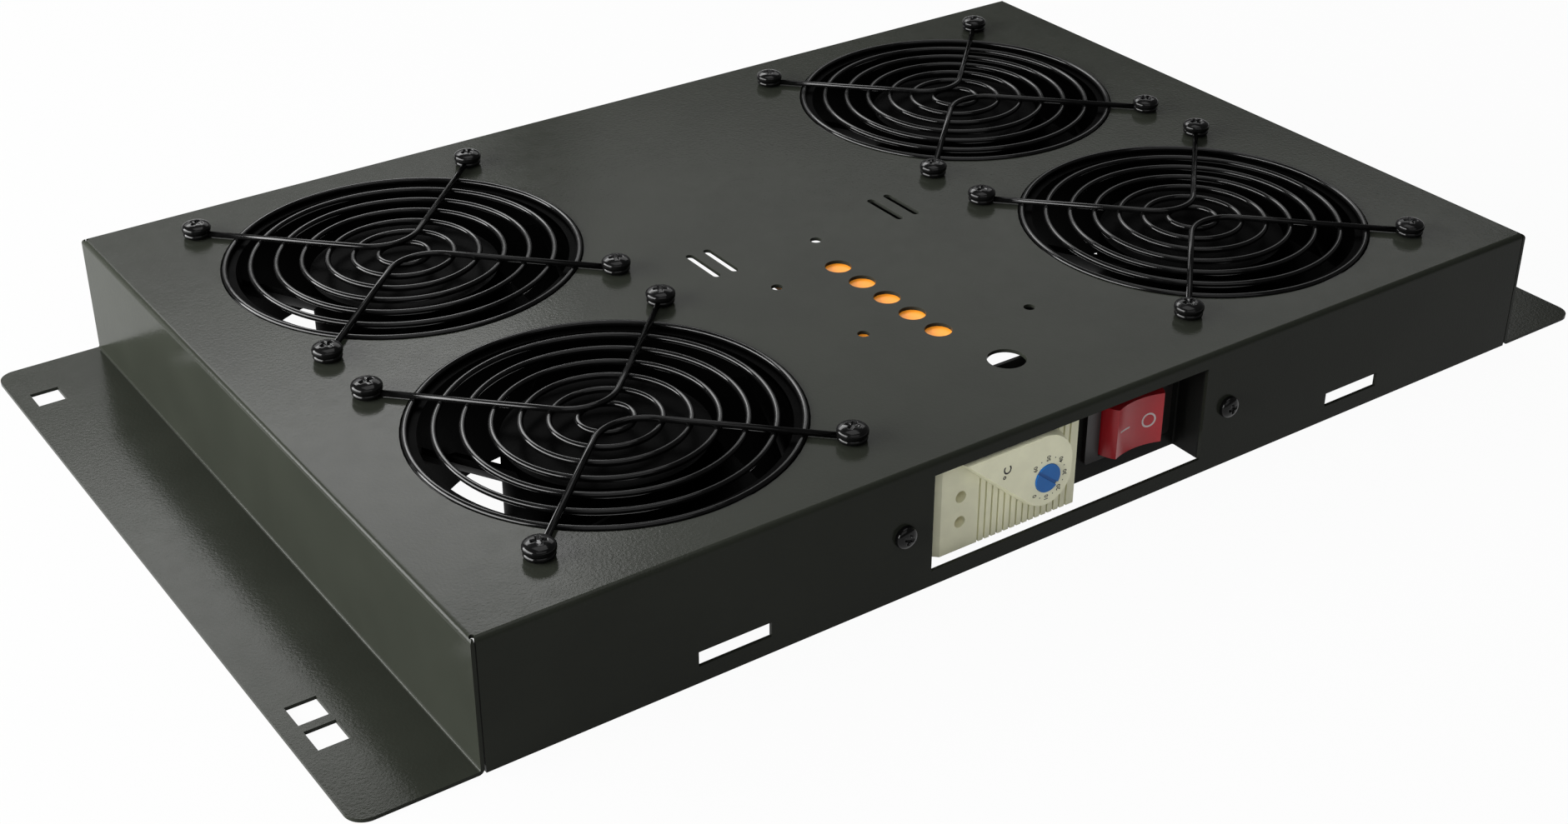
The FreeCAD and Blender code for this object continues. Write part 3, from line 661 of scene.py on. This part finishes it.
@dataclass
class CrossHeadScrews:
    """Domed pan heads with a cross recess, over their shanks."""

    name: str
    places: list[Triple]
    facing: Facing
    radius: float
    height: float
    shank: float
    length: float
    recess: float
    finish: bpy.types.Material
    node: str
    slot: str
    columns: int = 96
    dome_steps: int = 34
    crown_start: float = 0.02
    dome_powers: Pair = (0.92, 0.85)
    rim_share: float = 0.30
    rim_radii: Triple = (1.0, 0.985, 0.95)
    rim_heights: Triple = (0.5, 0.08, 0.0)
    tip_chamfer: float = 0.4 * MM
    tip_share: float = 0.8
    tip_radius: float = 1e-5
    slot_half_share: float = 0.115
    slot_wall_share: float = 0.05
    slot_end_share: float = 0.45
    slot_low_share: float = 0.2
    slot_depth_share: float = 0.30
    first_spin: float = 0.35
    next_spin: float = 1.1

    def profile(self) -> tuple[np.ndarray, np.ndarray]:
        """Radius and height from crown to tip: a superellipse dome, a rounded rim, the shank."""
        t = np.linspace(self.crown_start, 1.0, self.dome_steps)
        edge = self.rim_share * self.height
        dome_r = self.radius * np.sin(t * np.pi / 2) ** self.dome_powers[0]
        dome_z = edge + (self.height - edge) * np.cos(t * np.pi / 2) ** self.dome_powers[1]
        rim_r = np.array(self.rim_radii) * self.radius
        rim_z = np.array(self.rim_heights) * edge
        low_r = np.array([self.shank, self.shank, self.shank * self.tip_share, self.tip_radius])
        low_z = np.array([0.0, -self.length + self.tip_chamfer, -self.length, -self.length])
        return np.concatenate([dome_r, rim_r, low_r]), np.concatenate([dome_z, rim_z, low_z])

    def head(self, spin: float) -> np.ndarray:
        """Profile turned about z, sunk where a cross of two tapering slots meets it."""
        radii, heights = self.profile()
        angle = np.linspace(0, 2 * np.pi, self.columns, endpoint=False)[None, :]
        r, z = radii[:, None], heights[:, None]
        u, v = r * np.cos(angle + spin), r * np.sin(angle + spin)
        half = self.slot_half_share * self.radius
        soft = self.slot_wall_share * self.radius
        slope = self.slot_end_share * self.recess
        low = self.slot_low_share * self.height

        def slot(along: np.ndarray, across: np.ndarray) -> np.ndarray:
            """Depth share of one slot: full in the middle, nothing past its side or its end."""
            wall = np.clip((half + soft - np.abs(across)) / soft, 0, 1)
            end = np.clip((self.recess - np.abs(along)) / slope, 0, 1)
            return wall * end

        sunk = np.maximum(slot(u, v), slot(v, u)) * np.where(z > low, 1.0, 0.0)
        depth = self.slot_depth_share * self.height * sunk
        return np.stack([r * np.cos(angle), r * np.sin(angle), z - depth + 0 * angle], axis=-1)

    def build(self) -> None:
        """Make all the screws of this kind as one piece."""
        surface = Surface()
        for k, place in enumerate(self.places):
            points = self.head(self.first_spin + self.next_spin * k)
            if self.facing is Facing.FORWARD:
                points = np.stack([points[..., 0], -points[..., 2], points[..., 1]], axis=-1)
            surface.grid(points[::-1] + np.array(place), False, True, caps=True)
        made = surface.piece(self.name, self.finish)
        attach(made, "tray")
        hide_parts(self.node)
        report(made)


@dataclass
class Fasteners:
    """Guard screws, bracket screws and the plated nuts behind them."""

    black: GlossBlack = GlossBlack("screw_black", (0.002, 0.002, 0.002), roughness=0.10,
                                   specular=0.16)
    zinc: BareMetal = BareMetal("nut_zinc", (0.62, 0.62, 0.60))
    shank_radius: float = 2.0 * MM
    guard_head_radius: float = 4.9 * MM
    guard_head_height: float = 3.0 * MM
    guard_screw_length: float = 13.0 * MM
    guard_recess: float = 2.5 * MM
    bracket_head_radius: float = 3.7 * MM
    bracket_head_height: float = 2.6 * MM
    bracket_screw_length: float = 8.9 * MM
    bracket_recess: float = 1.9 * MM
    bracket_x: float = 65.2 * MM
    bracket_z: float = 21.85 * MM

    def build(self) -> None:
        """Heads stand on the guards' arms or on the skirt, where the CAD screws stand."""
        finish = self.black.make()
        guards = FingerGuards()
        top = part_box("guard_screws")[1].z
        seat = top - self.guard_head_height
        places = [(x + sx * guards.reach, y + sy * guards.reach, seat)
                  for x, y in guards.places.values() for sx in (-1, 1) for sy in (-1, 1)]
        CrossHeadScrews("guard_pan_screws", places, Facing.UP, self.guard_head_radius,
                        self.guard_head_height, self.shank_radius, self.guard_screw_length,
                        self.guard_recess, finish, "guard_screws", "black_screw").build()
        front = [(side * self.bracket_x, FRONT, self.bracket_z) for side in (-1, 1)]
        CrossHeadScrews("bracket_pan_screws", front, Facing.FORWARD, self.bracket_head_radius,
                        self.bracket_head_height, self.shank_radius, self.bracket_screw_length,
                        self.bracket_recess, finish, "bracket_screws", "black_screw").build()
        dress(self.zinc.make(), "guard_nuts", "bracket_nuts", "rail_screw")


def lettering(words: str, size: float) -> tuple[np.ndarray, list[list[int]]]:
    """Flat letters as points and faces, centred on the origin.

    Args:
        words: what they say.
        size: their height of line in metres.

    Returns:
        Points in the plane, and faces that count them.
    """
    curve = bpy.data.curves.new("letters", "FONT")
    curve.body = words
    curve.size = size
    curve.align_x = "CENTER"
    curve.align_y = "CENTER"
    curve.offset = BOLDNESS * size
    curve.resolution_u = 3
    holder = bpy.data.objects.new("letters", curve)
    mesh = bpy.data.meshes.new_from_object(holder)
    points = np.empty(len(mesh.vertices) * 3)
    mesh.vertices.foreach_get("co", points)
    faces = [list(face.vertices) for face in mesh.polygons]
    bpy.data.objects.remove(holder)
    bpy.data.curves.remove(curve)
    bpy.data.meshes.remove(mesh)
    flat = points.reshape(-1, 3)[:, :2]
    return flat - (flat.min(0) + flat.max(0)) / 2, faces


@dataclass
class Thermostat:
    """Beige thermostat with a blue dial, printed numbers and the short rail behind it."""

    dial: Pair = (-10.6 * MM, 22.15 * MM)
    face: float = FRONT + 0.1 * MM
    number_radius: float = 6.9 * MM
    number_size: float = 2.1 * MM
    angles: tuple[float, ...] = (226, 270, 313, 357, 43, 90, 137)
    number_step: int = 10
    dot_radius: float = 0.22 * MM
    dot_sides: int = 12
    unit_place: Pair = (-26.9 * MM, 29.8 * MM)
    unit_size: float = 4.1 * MM
    shell: Moulding = Moulding("thermostat_beige", (0.88, 0.87, 0.64), roughness=0.45)
    back: Moulding = Moulding("thermostat_base_grey", (0.35, 0.35, 0.33))
    blue: Moulding = Moulding("dial_blue", (0.006, 0.13, 0.44), roughness=0.35, specular=0.25)
    rail: BareMetal = BareMetal("rail_zinc", (0.6, 0.6, 0.58), (0.0, 0.0, math.pi / 2))
    brass: BareMetal = BareMetal("terminal_brass", (0.72, 0.55, 0.25))
    ink: PrintInk = PrintInk("dial_print", (0.008, 0.008, 0.008), (0.10, 0.10, 0.08))

    def stamp(self, surface: Surface, words: str, size: float, x: float, z: float) -> None:
        """Letters that read upwards on the shell: their line runs along z, their tops to -x."""
        flat, faces = lettering(words, size)
        level = np.full(len(flat), self.face - PRINT_LIFT)
        points = np.column_stack([x - flat[:, 1], level, z + flat[:, 0]])
        surface.plate(points, faces)

    def dot(self, surface: Surface, x: float, z: float, radius: float) -> None:
        """Flat disc with few sides."""
        turn = np.linspace(0, 2 * np.pi, self.dot_sides, endpoint=False)
        level = np.full(self.dot_sides, self.face - PRINT_LIFT)
        points = np.column_stack([x + radius * np.cos(turn), level, z + radius * np.sin(turn)])
        surface.plate(points, [list(range(self.dot_sides))])

    def build(self) -> None:
        """Dress the mouldings and print the scale."""
        dress(self.shell.make(), "thermostat_front")
        dress(self.back.make(), "thermostat_base")
        dress(self.blue.make(), "thermostat_dial")
        dress(self.rail.make(), "mounting_rail")
        dress(self.brass.make(), "terminal_screws")
        marks = Surface()
        x, z = self.dial
        for k, angle in enumerate(self.angles):
            turn = math.radians(angle)
            self.stamp(marks, str(self.number_step * k), self.number_size,
                       x + self.number_radius * math.cos(turn),
                       z + self.number_radius * math.sin(turn))
        for first, second in zip(self.angles, self.angles[1:]):
            middle = math.radians((first + second - (360 if second < first else 0)) / 2)
            self.dot(marks, x + self.number_radius * math.cos(middle),
                     z + self.number_radius * math.sin(middle), self.dot_radius)
        self.stamp(marks, "°C", self.unit_size, *self.unit_place)
        made = marks.piece("thermostat_scale", self.ink.make(), smooth=False)
        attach(made, "tray")
        report(made)


@dataclass
class RockerSwitch:
    """Black bezel, red rocker with its two marks, and the tags behind."""

    pivot_x: float = 33.4 * MM
    middle_z: float = 22.1 * MM
    dish_radius: float = 26.5 * MM
    dish_centre_y: float = FRONT - 18.3 * MM
    ring_x: float = 38.1 * MM
    ring_radius: float = 2.3 * MM
    dash: Pair = (25.7 * MM, 30.3 * MM)
    stroke: float = 0.62 * MM
    ring_steps: int = 48
    dash_steps: int = 9
    black: Moulding = Moulding("switch_black", (0.010, 0.0085, 0.008), roughness=0.3)
    red: Moulding = Moulding("rocker_red", (0.42, 0.012, 0.02), grain=0.5 * MM, depth=0.003 * MM,
                             roughness=0.25, specular=0.35)
    paint: PrintInk = PrintInk("rocker_marks", (0.62, 0.55, 0.55), (0.45, 0.2, 0.2))
    tags: BareMetal = BareMetal("tag_brass", (0.75, 0.6, 0.32))

    def on_dish(self, x: np.ndarray, z: np.ndarray) -> np.ndarray:
        """Points on the dished front: y is the dish's circle about a line in front, less a hair."""
        bow = np.sqrt(self.dish_radius ** 2 - (x - self.pivot_x) ** 2)
        y = self.dish_centre_y + bow - PRINT_LIFT
        return np.stack([x, y, z], axis=-1)

    def build(self) -> None:
        """Dress the mouldings and lay the ring and the dash on the rocker."""
        dress(self.black.make(), "switch_body")
        dress(self.red.make(), "switch_rocker")
        dress(self.tags.make(), "switch_terminals")
        marks = Surface()
        u = np.linspace(0, 2 * np.pi, self.ring_steps, endpoint=False)[None, :]
        r = (self.ring_radius + self.stroke * np.array([0.5, -0.5]))[:, None]
        ring = self.on_dish(self.ring_x + r * np.cos(u), self.middle_z + r * np.sin(u))
        marks.grid(ring, False, True)
        x = np.linspace(*self.dash, self.dash_steps)[None, :]
        z = self.middle_z + self.stroke * np.array([-0.5, 0.5])[:, None]
        marks.grid(self.on_dish(x + 0 * z, z + 0 * x), False, False)
        made = marks.piece("rocker_marks", self.paint.make())
        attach(made, "rocker")
        report(made)


def main() -> None:
    """Build the camera, the studio, then each sub-assembly."""
    logging.basicConfig(level=logging.INFO, format="%(name)s %(message)s")
    scene = bpy.context.scene
    scene.view_settings.view_transform = "Standard"
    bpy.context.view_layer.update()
    PhotoCamera().make()
    Studio().make()
    for assembly in (TrayShell(), Fans(), FingerGuards(), Fasteners(), Thermostat(),
                     RockerSwitch()):
        log.info("building %s", type(assembly).__name__)
        assembly.build()
    bpy.context.view_layer.update()


if __name__ == "__main__":
    main()
